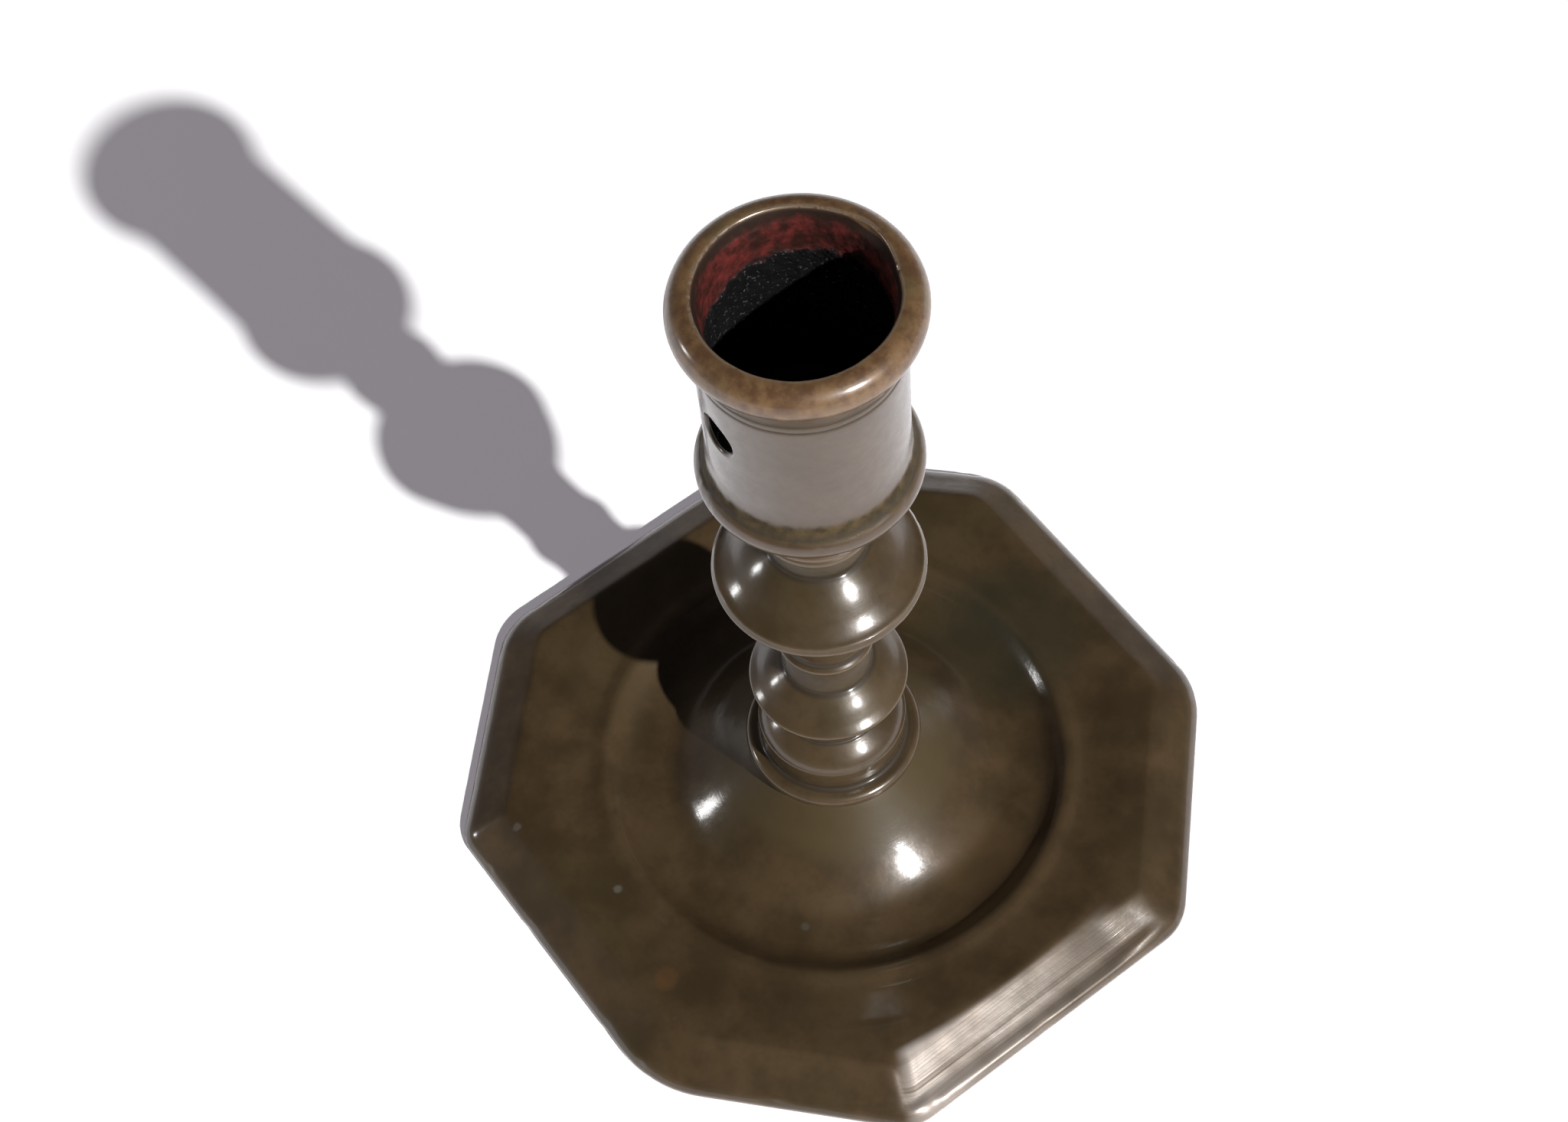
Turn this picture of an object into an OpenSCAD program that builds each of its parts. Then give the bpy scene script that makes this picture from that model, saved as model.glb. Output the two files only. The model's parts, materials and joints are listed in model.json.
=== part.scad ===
// Turned candlestick in cast bronze: a candle socket and a knopped stem on a wide eight-sided foot
// with a round drip well. Lengths are in millimetres. The origin is the centre of the foot's underside,
// +Z runs up the stem, two long sides of the foot face -Y and +Y, and the socket's hole looks about -Y.

/* [Candle socket] */
// Diameter of the bore that holds the candle
candle_d = 24.8; // [20:0.1:25.2]
// Depth of the socket from the lip to its floor
socket_depth = 34.6; // [20:0.2:35.4]
// Diameter over the half-round bead at the mouth
rim_d = 34.0; // [33:0.1:36]
// Thickness of that bead
rim_bead = 6.12; // [5.6:0.02:6.4]
// Diameter of the socket's wall at its middle
wall_d = 28.3; // [27.8:0.1:28.6]
// Diameter over the rounded flange at the foot of the socket
flange_d = 32.2; // [31.4:0.1:35]
// Diameter of the hole for pushing out a candle end
pick_hole_d = 6.1; // [3:0.1:8]
// Bearing of that hole, anticlockwise from +X
pick_hole_bearing = 268; // [180:1:360]
// Height of that hole's centre above the joint with the stem
pick_hole_z = 33.4; // [28:0.1:38]
// Height of the nozzle from its joint with the stem to its lip
nozzle_h = 53.9; // [53.9:0.1:60]

/* [Stem] */
// Height of the stem from its seat on the foot to its joint with the nozzle
stem_h = 70.5; // [70.5:0.1:76]
// Diameter of the collar under the nozzle
collar_d = 17.2; // [16.6:0.1:20]
// Diameter of the wide disc knop
disc_d = 32.0; // [28:0.1:40]
// Diameter of the middle neck
neck_d = 13.6; // [11:0.1:14]
// Diameter of the lower knop at its thin edge
knop_d = 25.5; // [22:0.1:28]
// Diameter of the rounded knop above the foot ring
ovolo_d = 24.4; // [20:0.1:25]
// Diameter over the ring that sits on the foot
foot_ring_d = 29.2; // [28.4:0.1:30]

/* [Foot] */
// Width across the four long sides
across_long = 115.6; // [112:0.2:120]
// Width across the four short corner sides
across_short = 120.7; // [117:0.1:124]
// Radius of the rounding between two sides
corner_r = 12; // [9:0.5:20]
// Height of the seat under the stem
seat_z = 14.5; // [14:0.1:17]
// Height of the border round the well
border_z = 6.4; // [6.3:0.1:8]
// Diameter of the crest round the drip well
well_d = 79.6; // [78:0.2:82]
// Height of that crest
crest_z = 5.5; // [5.3:0.1:5.7]
// Height of the drip well's floor
well_floor_z = 2.4; // [2.3:0.1:2.8]
// Thickness of the casting
plate_t = 2.0; // [1.6:0.1:2.1]

/* [Fixing] */
// Diameter of the iron stud between stem and foot
stud_d = 6.0; // [5:0.1:7]
// Length of the stud inside the stem
stud_grip = 15; // [8:0.5:16]
// Diameter of the washer under the foot
washer_d = 18; // [14:0.5:22]
// Thickness of the washer
washer_t = 1.4; // [1:0.1:2]
// Width of the square nut
nut_w = 11; // [10:0.5:14]
// Thickness of the nut
nut_t = 4.6; // [4:0.1:5]

/* [Hidden] */
$fn = 128;
arc_step = 11;       // widest angle between the points of an arc
curve_steps = 9;     // stretches in a free curve
outline_step = 9;    // widest angle between the points of the foot's rounded corners
eps = 0.5;           // overrun of cutting bodies
clearance = 0.05;    // radial play of parts that sit in one another

joint_z = seat_z + stem_h;
lip_z = joint_z + nozzle_h;
bore_r = candle_d / 2;
wall_r = wall_d / 2;
rim_tube = rim_bead / 2;
rim_c = [rim_d / 2 - rim_tube, lip_z - rim_tube];
flange_tube = 2.4;
flange_c = [flange_d / 2 - flange_tube, joint_z + 15.2];
spigot_r = 4;
spigot_h = 11;
bronze = "#5f4d33";
iron = "#3a3632";

band_z = 0.8;             // height of the upright edge round the foot
line_depth = 0.25;        // depth of the line cut below the bevel
bevel_low = [1.4, 1.8];   // lower edge of the foot's bevel: how far in from the outline, and height
bevel_mid = [4.5, 4.6];   // where the bevel turns less steep
ridge_in = 8.2;           // how far in from the outline the bevel meets the border
skirt_t = 3.2;            // thickness of the foot's bevelled skirt, seen from above
sharpest_r = 0.8;         // least radius of a rounding inside the foot's outline
stud_tip = 1.6;           // length of the stud past the nut
nut_chamfer = 0.8;

// The foot was filed by hand. For each side from the one facing +X on: how far it stands out
// of true, the angle it is turned by, and how worn its corner with the next side is
stands_out = [0, -0.5, 0, 0, 0, 1.0, 0, 0];
turned_by = [0, 0.8, 0, 0, 0, 1.2, 0, -1.8];
corner_wear = [0.8, 1.2, 1, 1, 1, 0.5, 1.7, 0.75];

// Points of an arc of radius r about c, from angle a to angle b
function arc(c, r, a, b, step = arc_step) =
    let (n = ceil(abs(b - a) / step))
    [for (i = [0:n]) c + r * [cos(a + (b - a) * i / n), sin(a + (b - a) * i / n)]];

// Points of the curve that leaves p towards q and reaches s from r
function curve(p, q, r, s) =
    [for (i = [0:curve_steps])
        let (t = i / curve_steps, u = 1 - t)
        u * u * u * p + 3 * u * u * t * q + 3 * u * t * t * r + t * t * t * s];

// The same points raised by z
function lift(points, z) = [for (p = points) p + [0, z]];

// Outside of the nozzle from its joint up to the lip, as radius and height
function nozzle_outside() = concat(
    arc([8.0, joint_z + 0.95], 0.9, -70, 70),
    curve([7.7, joint_z + 2.3], [7.6, joint_z + 6.6], [flange_c[0] - 1.3, flange_c[1] - 3.5],
          [flange_c[0] + 0.9, flange_c[1] - 2.25]),
    arc(flange_c, flange_tube, -58, 44),
    curve([flange_c[0] + 1.5, flange_c[1] + 1.88], [wall_r + 0.55, flange_c[1] + 2.35],
          [wall_r + 0.05, flange_c[1] + 4.1], [wall_r, flange_c[1] + 6.6]),
    curve([wall_r, joint_z + 22.8], [wall_r, joint_z + 27], [wall_r - 0.05, joint_z + 34],
          [wall_r, lip_z - 11.65]),
    [[wall_r - 0.2, lip_z - 11.4], [wall_r, lip_z - 11.15], [wall_r, lip_z - 10.25],
     [wall_r - 0.2, lip_z - 10], [wall_r + 0.1, lip_z - 9.75], [wall_r + 0.2, lip_z - 9]],
    arc(rim_c, rim_tube, -75, 98)
);

// Inside of the socket from the lip down to its floor
function nozzle_inside() = concat(
    curve([rim_c[0] - 0.62, lip_z - 0.12], [bore_r + 0.7, lip_z - 0.6], [bore_r + 0.2, lip_z - 1.8],
          [bore_r, lip_z - 4.8]),
    arc([bore_r - 1.5, lip_z - socket_depth + 1.5], 1.5, 0, -90)
);

// Outside of the stem from its joint down to its seat
function stem_outside() = concat(
    arc([collar_d / 2 - 1, joint_z - 1.05], 1, 75, -80),
    [[7.6, joint_z - 2.6], [7.6, joint_z - 6.4]],
    curve([7.7, joint_z - 6.6], [8.3, joint_z - 7.2], [10.2, joint_z - 8.78], [11.4, joint_z - 9.57]),
    curve([11.4, joint_z - 9.57], [12.4, joint_z - 10.23], [disc_d / 2 - 1.5, joint_z - 11.75],
          [disc_d / 2 - 0.5, joint_z - 12.9]),
    arc([disc_d / 2 - 0.6, joint_z - 13.9], 0.6, 50, -80),
    curve([disc_d / 2 - 0.9, joint_z - 14.9], [disc_d / 2 - 1.9, joint_z - 21], [7.3, joint_z - 22],
          [neck_d / 2 + 0.1, joint_z - 29]),
    [[neck_d / 2, seat_z + 35.7]],
    arc([neck_d / 2 + 0.4, seat_z + 34.8], 0.7, 80, -80),
    [[7.1, seat_z + 34], [7.1, seat_z + 27.4]],
    curve([7.2, seat_z + 27.2], [7.8, seat_z + 26.6], [9.6, seat_z + 25.15], [10.6, seat_z + 24.42]),
    curve([10.6, seat_z + 24.42], [11.4, seat_z + 23.84], [knop_d / 2 - 0.85, seat_z + 23.5],
          [knop_d / 2 - 0.4, seat_z + 22.95]),
    arc([knop_d / 2 - 0.5, seat_z + 22.25], 0.5, 50, -80),
    curve([knop_d / 2 - 0.8, seat_z + 21.5], [11.4, seat_z + 19], [8.4, seat_z + 19], [8, seat_z + 16]),
    [[7.95, seat_z + 12.5]],
    arc([ovolo_d / 2 - 5.8, seat_z + 6.6], 5.8, 72, 0),
    [[ovolo_d / 2 - 0.1, seat_z + 4.2], [ovolo_d / 2 - 0.4, seat_z + 3.4], [ovolo_d / 2, seat_z + 3]],
    arc([foot_ring_d / 2 - 1.5, seat_z + 1.5], 1.5, 100, -90)
);

// Top of the foot from the seat down the dome, through the well and out to the border
function foot_top() = let (crest_r = well_d / 2 + 0.6) concat(
    [[0, seat_z], [13.3, seat_z]],
    curve([13.5, seat_z - 0.2], [14.7, seat_z - 1.6], [16.5, well_floor_z + 8.85],
          [18, well_floor_z + 7.55]),
    curve([18, well_floor_z + 7.55], [19.4, well_floor_z + 6.33], [21, well_floor_z + 5.02],
          [22.6, well_floor_z + 3.98]),
    curve([22.6, well_floor_z + 3.98], [23.7, well_floor_z + 3.27], [25.3, well_floor_z + 2.1],
          [26.4, well_floor_z + 1]),
    curve([26.4, well_floor_z + 1], [27.6, well_floor_z + 0.15], [29, well_floor_z], [30.6, well_floor_z]),
    curve([crest_r - 8.6, well_floor_z], [crest_r - 6.6, well_floor_z], [crest_r - 5.7, well_floor_z + 0.15],
          [crest_r - 4.9, well_floor_z + 0.65]),
    curve([crest_r - 4.9, well_floor_z + 0.65], [crest_r - 3.4, crest_z - 1.5],
          [crest_r - 2.3, crest_z - 0.8], [crest_r - 1.3, crest_z - 0.3]),
    curve([crest_r - 1.3, crest_z - 0.3], [crest_r - 0.9, crest_z - 0.1], [crest_r - 0.5, crest_z],
          [crest_r, crest_z]),
    curve([crest_r, crest_z], [crest_r + 0.8, crest_z], [crest_r + 1.2, crest_z - 0.3],
          [crest_r + 2.2, crest_z - 0.3]),
    curve([crest_r + 2.2, crest_z - 0.3], [crest_r + 4.8, crest_z - 0.3], [crest_r + 5.8, border_z],
          [crest_r + 8.5, border_z]),
    [[across_short, border_z]]
);

// Distance of a side from the axis, before its inset: even sides are the long ones
function apothem(side) = (side % 2 == 0 ? across_long : across_short) / 2 + stands_out[side % 8];

// Bearing that a side faces
function facing(side) = side * 45 + turned_by[side % 8];

// Radius of the rounding between a side and the next one
function rounding(side, inset) = max(corner_r * corner_wear[side] - inset, sharpest_r);

// Centre of that rounding
function corner_centre(side, inset) =
    let (a = facing(side),
         turn = facing(side + 1) - a,
         out = apothem(side) - inset - rounding(side, inset),
         next = apothem(side + 1) - inset - rounding(side, inset),
         along = (next - out * cos(turn)) / sin(turn))
    [out * cos(a) - along * sin(a), out * sin(a) + along * cos(a)];

// The foot's eight-sided outline with its corners rounded, drawn in by inset
module foot_outline(inset = 0) {
    polygon([for (side = [0:7])
        each arc(corner_centre(side, inset), rounding(side, inset), facing(side), facing(side + 1),
                 outline_step)]);
}

// A level slice of the foot's outline
module slice(inset, z, h = 0.01) {
    translate([0, 0, z]) linear_extrude(h) foot_outline(inset);
}

// The space between two insets of the outline at two heights
module taper(inset_low, z_low, inset_high, z_high) {
    hull() {
        slice(inset_low, z_low);
        slice(inset_high, z_high - 0.01);
    }
}

// The foot's solid block with its upright edge and bevel
module foot_block() {
    slice(0, 0, band_z);
    taper(0, band_z, bevel_low[0] - line_depth, bevel_low[1]);
    slice(bevel_low[0], 0, bevel_low[1]);
    taper(bevel_low[0], bevel_low[1], bevel_mid[0], bevel_mid[1]);
    taper(bevel_mid[0], bevel_mid[1], ridge_in, border_z);
}

// The space inside the foot's skirt
module foot_hollow() {
    taper(bevel_low[0] + 1, -eps, bevel_low[0] + skirt_t, bevel_low[1] - eps);
    taper(bevel_low[0] + skirt_t, bevel_low[1] - eps, ridge_in + skirt_t, border_z - eps);
}

module base() {
    color(bronze) difference() {
        intersection() {
            union() {
                foot_block();
                cylinder(d = well_d, h = seat_z + eps);
            }
            rotate_extrude() polygon(concat(foot_top(), [[across_short, -eps], [0, -eps]]));
        }
        intersection() {
            union() {
                foot_hollow();
                translate([0, 0, -eps]) cylinder(d = well_d, h = seat_z);
            }
            rotate_extrude() polygon(concat(
                lift(foot_top(), -plate_t),
                [[across_short, -2 * eps], [0, -2 * eps]]));
        }
        translate([0, 0, -eps]) cylinder(r = stud_d / 2 + 0.4, h = seat_z + 2 * eps);
    }
}

module stem() {
    color(bronze) difference() {
        rotate_extrude() polygon(concat([[0, joint_z]], stem_outside(), [[0, seat_z]]));
        translate([0, 0, joint_z - spigot_h - eps])
            cylinder(r = spigot_r + clearance, h = spigot_h + 2 * eps);
        translate([0, 0, seat_z - eps])
            cylinder(r = stud_d / 2 + clearance, h = stud_grip + 2 * eps);
    }
}

module nozzle() {
    color(bronze) difference() {
        rotate_extrude() polygon(concat(
            [[0, joint_z - spigot_h], [spigot_r - 0.5, joint_z - spigot_h],
             [spigot_r, joint_z - spigot_h + 0.5], [spigot_r, joint_z], [8.2, joint_z]],
            nozzle_outside(),
            nozzle_inside(),
            [[0, lip_z - socket_depth]]));
        translate([0, 0, joint_z + pick_hole_z]) rotate([0, 90, pick_hole_bearing])
            cylinder(d = pick_hole_d, h = rim_d / 2 + eps);
    }
}

module stud() {
    low = seat_z - plate_t - washer_t - nut_t - stud_tip;
    color(iron) translate([0, 0, low]) {
        cylinder(d1 = stud_d - 1.6, d2 = stud_d, h = 0.8);
        translate([0, 0, 0.8]) cylinder(d = stud_d, h = seat_z + stud_grip - low - 0.8);
    }
}

module washer() {
    color(iron) translate([0, 0, seat_z - plate_t - washer_t]) difference() {
        cylinder(d = washer_d, h = washer_t);
        translate([0, 0, -eps]) cylinder(r = stud_d / 2 + 0.3, h = washer_t + 2 * eps);
    }
}

module nut() {
    color(iron) translate([0, 0, seat_z - plate_t - washer_t - nut_t]) difference() {
        intersection() {
            translate([-nut_w / 2, -nut_w / 2, 0]) cube([nut_w, nut_w, nut_t]);
            union() {
                cylinder(d1 = nut_w * 1.2, d2 = nut_w * 1.2 + 2 * nut_chamfer, h = nut_chamfer);
                translate([0, 0, nut_chamfer]) cylinder(d = nut_w * 1.42, h = nut_t - nut_chamfer);
            }
        }
        translate([0, 0, -eps]) cylinder(r = stud_d / 2 + clearance, h = nut_t + 2 * eps);
    }
}

base();
stem();
nozzle();
stud();
washer();
nut();
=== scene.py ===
import json
import math

import bpy
import numpy as np
from mathutils import Matrix, Vector, noise


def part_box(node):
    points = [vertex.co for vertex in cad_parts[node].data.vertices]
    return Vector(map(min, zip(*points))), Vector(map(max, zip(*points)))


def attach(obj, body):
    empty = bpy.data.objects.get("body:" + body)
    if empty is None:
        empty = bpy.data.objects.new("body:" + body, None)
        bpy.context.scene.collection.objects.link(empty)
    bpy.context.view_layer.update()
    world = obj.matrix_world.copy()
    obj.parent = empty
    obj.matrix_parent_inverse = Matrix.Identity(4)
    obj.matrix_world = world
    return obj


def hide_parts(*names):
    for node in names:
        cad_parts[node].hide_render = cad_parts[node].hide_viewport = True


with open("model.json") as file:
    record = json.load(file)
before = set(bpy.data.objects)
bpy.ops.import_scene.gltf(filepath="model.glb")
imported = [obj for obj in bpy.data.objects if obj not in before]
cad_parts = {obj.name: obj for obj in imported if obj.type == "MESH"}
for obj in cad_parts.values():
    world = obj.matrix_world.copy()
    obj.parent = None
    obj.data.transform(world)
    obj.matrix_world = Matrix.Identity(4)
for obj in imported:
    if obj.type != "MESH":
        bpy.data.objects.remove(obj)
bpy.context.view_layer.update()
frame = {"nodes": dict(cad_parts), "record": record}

MM = 0.001
NODES = frame["nodes"]

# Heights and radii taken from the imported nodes, in millimetres
JOINT_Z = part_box("stem")[1][2] / MM
LIP_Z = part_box("nozzle")[1][2] / MM
SEAT_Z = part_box("stem")[0][2] / MM


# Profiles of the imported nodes
def section(node_name, bearing=math.radians(0.3)):
    """The cut of a node by the half-plane at a bearing: ordered (radius, height) points in mm."""
    mesh = NODES[node_name].data
    mesh.calc_loop_triangles()
    points = np.array([v.co[:] for v in mesh.vertices]) / MM
    c, s = math.cos(bearing), math.sin(bearing)
    out = points[:, 0] * c + points[:, 1] * s
    side = points[:, 1] * c - points[:, 0] * s
    pieces = []
    for tri in mesh.loop_triangles:
        ids = tri.vertices
        cut = []
        for a, b in ((ids[0], ids[1]), (ids[1], ids[2]), (ids[2], ids[0])):
            if side[a] * side[b] < 0:
                t = side[a] / (side[a] - side[b])
                cut.append(np.array([out[a] + t * (out[b] - out[a]), points[a, 2] + t * (points[b, 2] - points[a, 2])]))
        if len(cut) != 2 or (cut[0][0] <= 0 and cut[1][0] <= 0):
            continue
        a, b = cut
        if a[0] < 0 or b[0] < 0:
            if a[0] < 0:
                a, b = b, a
            b = a + (b - a) * (a[0] / (a[0] - b[0]))
        if np.linalg.norm(b - a) > 1e-5:
            pieces.append((a, b))
    ends = np.array([p for piece in pieces for p in piece])
    free = set(range(len(pieces)))
    on_axis = [i for i in range(len(ends)) if ends[i][0] < 1e-4]
    start = max(on_axis, key=lambda i: ends[i][1]) if on_axis else 0
    chain = [ends[start], ends[start ^ 1]]
    free.discard(start // 2)
    while free:
        left = np.array([2 * i + k for i in free for k in (0, 1)])
        gaps = np.linalg.norm(ends[left] - chain[-1], axis=1)
        best = int(np.argmin(gaps))
        if gaps[best] > 0.01:
            break
        chain.append(ends[left[best] ^ 1])
        free.discard(int(left[best]) // 2)
    return tidy_line(np.array(chain), closed=not on_axis)


def turning(points):
    """Angle in degrees that a line turns by at each inner point."""
    step = np.diff(points, axis=0)
    step /= np.linalg.norm(step, axis=1)[:, None]
    return np.degrees(np.arccos(np.clip((step[:-1] * step[1:]).sum(1), -1, 1)))


def tidy_line(points, closed):
    """The same line with points on straight stretches left out; a closed one starts at its sharpest corner."""
    keep = [points[0]]
    for p in points[1:]:
        if np.linalg.norm(p - keep[-1]) > 1e-4:
            keep.append(p)
    points = np.array(keep)
    if closed:
        points = points[:-1] if np.linalg.norm(points[0] - points[-1]) < 0.01 else points
        ring = np.vstack([points[-1], points, points[0]])
        points = np.roll(points, -int(np.argmax(turning(ring))), axis=0)
        points = np.vstack([points, points[0]])
    while True:
        angle = turning(points)
        flat = np.where(angle < 0.35)[0]
        if not len(flat):
            return points
        drop = [i for n, i in enumerate(flat) if n == 0 or i - flat[n - 1] > 1]
        points = np.delete(points, np.array(drop) + 1, axis=0)


def rounded(points, step=0.1, crease=27, soften=0.13):
    """A fine line through a polygon's points: smooth where it turns little, and its corners softened like worn metal."""
    corner = [0] + [i + 1 for i, a in enumerate(turning(points)) if a > crease] + [len(points) - 1]
    fine = []
    for first, last in zip(corner[:-1], corner[1:]):
        run = [points[first]]
        for i in range(first, last):
            a, b = points[i], points[i + 1]
            length = np.linalg.norm(b - a)
            before = np.linalg.norm(points[i] - points[i - 1]) if i > first else 1e9
            after = np.linalg.norm(points[i + 2] - points[i + 1]) if i + 1 < last else 1e9
            if before * 2.2 < length:
                run.append(a + (b - a) * before / length)
            if after * 2.2 < length:
                run.append(b - (b - a) * after / length)
            run.append(b)
        run = np.array(run)
        if len(run) < 3:
            fine.append(run[:-1])
            continue
        run = np.vstack([2 * run[0] - run[1], run, 2 * run[-1] - run[-2]])
        for i in range(1, len(run) - 2):
            p = run[i - 1:i + 3]
            t = np.concatenate([[0], np.cumsum(np.sqrt(np.linalg.norm(np.diff(p, axis=0), axis=1)))])
            count = max(2, int(np.linalg.norm(p[2] - p[1]) / step) + 1)
            for u in np.linspace(t[1], t[2], count, endpoint=False):
                a1 = (p[0] * (t[1] - u) + p[1] * (u - t[0])) / (t[1] - t[0])
                a2 = (p[1] * (t[2] - u) + p[2] * (u - t[1])) / (t[2] - t[1])
                a3 = (p[2] * (t[3] - u) + p[3] * (u - t[2])) / (t[3] - t[2])
                b1 = (a1 * (t[2] - u) + a2 * (u - t[0])) / (t[2] - t[0])
                b2 = (a2 * (t[3] - u) + a3 * (u - t[1])) / (t[3] - t[1])
                fine.append(((b1 * (t[2] - u) + b2 * (u - t[1])) / (t[2] - t[1]))[None, :])
    fine.append(points[-1:])
    return blurred(evened(np.vstack(fine)), soften, 0.05)


def evened(line):
    """The same line with a point every 0.05 mm."""
    length = np.concatenate([[0], np.cumsum(np.linalg.norm(np.diff(line, axis=0), axis=1))])
    even = np.linspace(0, length[-1], int(length[-1] / 0.05) + 1)
    return np.stack([np.interp(even, length, line[:, k]) for k in (0, 1)], axis=1)


def blurred(line, sigma, step):
    """A line with its points averaged along it, its two ends kept."""
    half = int(4 * sigma / step) + 1
    weights = np.exp(-0.5 * (np.arange(-half, half + 1) * step / sigma) ** 2)
    weights /= weights.sum()
    closed = np.linalg.norm(line[0] - line[-1]) < 0.01
    if closed:
        padded = np.vstack([line[-half - 1:-1], line, line[1:half + 1]])
    else:
        padded = np.vstack([2 * line[0] - line[half:0:-1], line, 2 * line[-1] - line[-2:-half - 2:-1]])
    return np.stack([np.convolve(padded[:, k], weights, mode="valid") for k in (0, 1)], axis=1)


def redrawn(line, slopes, anchors):
    """A line with one stretch drawn anew from the slopes in degrees at given radii, led through (radius, height) anchors."""
    radii = np.arange(anchors[0][0], anchors[-1][0], 0.04)
    fall = np.tan(np.radians(np.interp(radii, *zip(*slopes))))
    heights = anchors[0][1] - np.cumsum(fall) * 0.04
    gaps = [height - np.interp(radius, radii, heights) for radius, height in anchors]
    heights += np.interp(radii, [a[0] for a in anchors], gaps)
    first, last = [int(np.argmin(np.linalg.norm(line - a, axis=1))) for a in (anchors[0], anchors[-1])]
    fresh = np.stack([radii, heights], axis=1)
    if first > last:
        first, last, fresh = last, first, fresh[::-1]
    return evened(np.vstack([line[:first + 1], fresh, line[last:]]))


def softened(line, sigma, share):
    """A line blurred by sigma mm as far as share, a number from 0 to 1 for each point, says."""
    return line + (blurred(line, sigma, 0.05) - line) * share[:, None]


def bulge(line, sigma):
    """How far each point of a fine line stands out of the line averaged over sigma mm: above 0 on its outer edges."""
    smooth = blurred(line, sigma, 0.05)
    along = np.gradient(line, axis=0)
    normal = np.stack([along[:, 1], -along[:, 0]], axis=1)
    normal /= np.linalg.norm(normal, axis=1)[:, None] + 1e-12
    area = np.sum(line[:-1, 0] * line[1:, 1] - line[1:, 0] * line[:-1, 1])
    return ((line - smooth) * normal).sum(1) * (1 if area > 0 else -1)


def thinned(line, tolerance, longest):
    """Indices of the points of a fine line that keep it within a tolerance, none further apart than longest[i]."""
    keep = {0, len(line) - 1}
    stack = [(0, len(line) - 1)]
    while stack:
        a, b = stack.pop()
        if b - a < 2:
            continue
        along = line[b] - line[a]
        size = np.linalg.norm(along)
        rest = line[a + 1:b] - line[a]
        if size < 1e-6:
            gap = np.linalg.norm(rest, axis=1)
        else:
            gap = np.abs(rest[:, 0] * along[1] - rest[:, 1] * along[0]) / size
        worst = int(np.argmax(gap)) + a + 1
        if gap.max() <= tolerance:
            if size <= longest[worst]:
                continue
            worst = (a + b) // 2
        keep.add(worst)
        stack += [(a, worst), (worst, b)]
    return np.array(sorted(keep))


def turned(name, line, marks, bearings, place=None):
    """A mesh of a profile carried round the axis, with its marks kept for the materials.

    place(i, radius, bearings) may change the radius of the profile's point i with the bearing."""
    closed = np.linalg.norm(line[0] - line[-1]) < 0.01
    rows = line[:-1] if closed else line
    count = len(bearings)
    verts, ids, rings = [], [], []
    for i, (radius, height) in enumerate(rows):
        if radius < 1e-3:
            rings.append([len(verts)])
            verts.append((0, 0, height))
            ids.append(i)
            continue
        radii = place(i, radius, bearings) if place else np.full(count, radius)
        rings.append(list(range(len(verts), len(verts) + count)))
        verts += [(r * math.cos(a), r * math.sin(a), height) for r, a in zip(radii, bearings)]
        ids += [i] * count
    faces = []
    pairs = list(zip(rings, rings[1:] + rings[:1])) if closed else list(zip(rings[:-1], rings[1:]))
    for low, high in pairs:
        for j in range(count):
            k = (j + 1) % count
            if len(low) == 1:
                faces.append((low[0], high[j], high[k]))
            elif len(high) == 1:
                faces.append((low[j], high[0], low[k]))
            else:
                faces.append((low[j], high[j], high[k], low[k]))
    area = np.sum(line[:-1, 0] * line[1:, 1] - line[1:, 0] * line[:-1, 1])
    if area > 0:
        faces = [f[::-1] for f in faces]
    mesh = bpy.data.meshes.new(name)
    mesh.from_pydata([tuple(np.array(v) * MM) for v in verts], [], faces)
    mesh.polygons.foreach_set("use_smooth", [True] * len(mesh.polygons))
    for key, values in marks.items():
        kept = mesh.attributes.new(key, "FLOAT", "POINT")
        kept.data.foreach_set("value", values[np.array(ids)].astype(np.float32))
    obj = bpy.data.objects.new(name, mesh)
    bpy.context.scene.collection.objects.link(obj)
    return obj


def points_of(obj):
    """(places in mm, unit normals) of a mesh's vertices."""
    mesh = obj.data
    places = np.empty(len(mesh.vertices) * 3)
    mesh.vertices.foreach_get("co", places)
    normals = np.empty(len(mesh.vertices) * 3)
    mesh.vertex_normals.foreach_get("vector", normals)
    return places.reshape(-1, 3) / MM, normals.reshape(-1, 3)


def set_points(obj, places):
    obj.data.vertices.foreach_set("co", (places * MM).ravel())
    obj.data.update()


def lumps(places, size, seed):
    """Smooth noise from -1 to 1 with features of about size mm."""
    shift = Vector((seed * 13.7, seed * 7.3, seed * 3.1))
    return np.array([noise.noise(Vector(p) / size + shift) for p in places])


def step_up(value, low, high):
    """0 below low, 1 above high, smooth between."""
    t = np.clip((value - low) / (high - low), 0, 1)
    return t * t * (3 - 2 * t)


# The three castings
def casting(name, node_name, bearings, place_for=None, longest=lambda line: np.full(len(line), 2.5), wear=lambda line: line):
    """A smooth mesh of a node's own profile. Its marks: edge is above 0 on outer edges, run is the length in mm."""
    line = wear(rounded(section(node_name)))
    edge = bulge(line, 0.55)
    run = np.arange(len(line)) * 0.05
    kept = thinned(line, 0.003, longest(line))
    line = line[kept]
    obj = turned(name, line, {"edge": edge[kept], "run": run[kept]}, bearings, place_for(line) if place_for else None)
    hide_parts(node_name)
    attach(obj, "root")
    return obj


def full_turn(count):
    return np.arange(count) * 2 * math.pi / count


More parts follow.
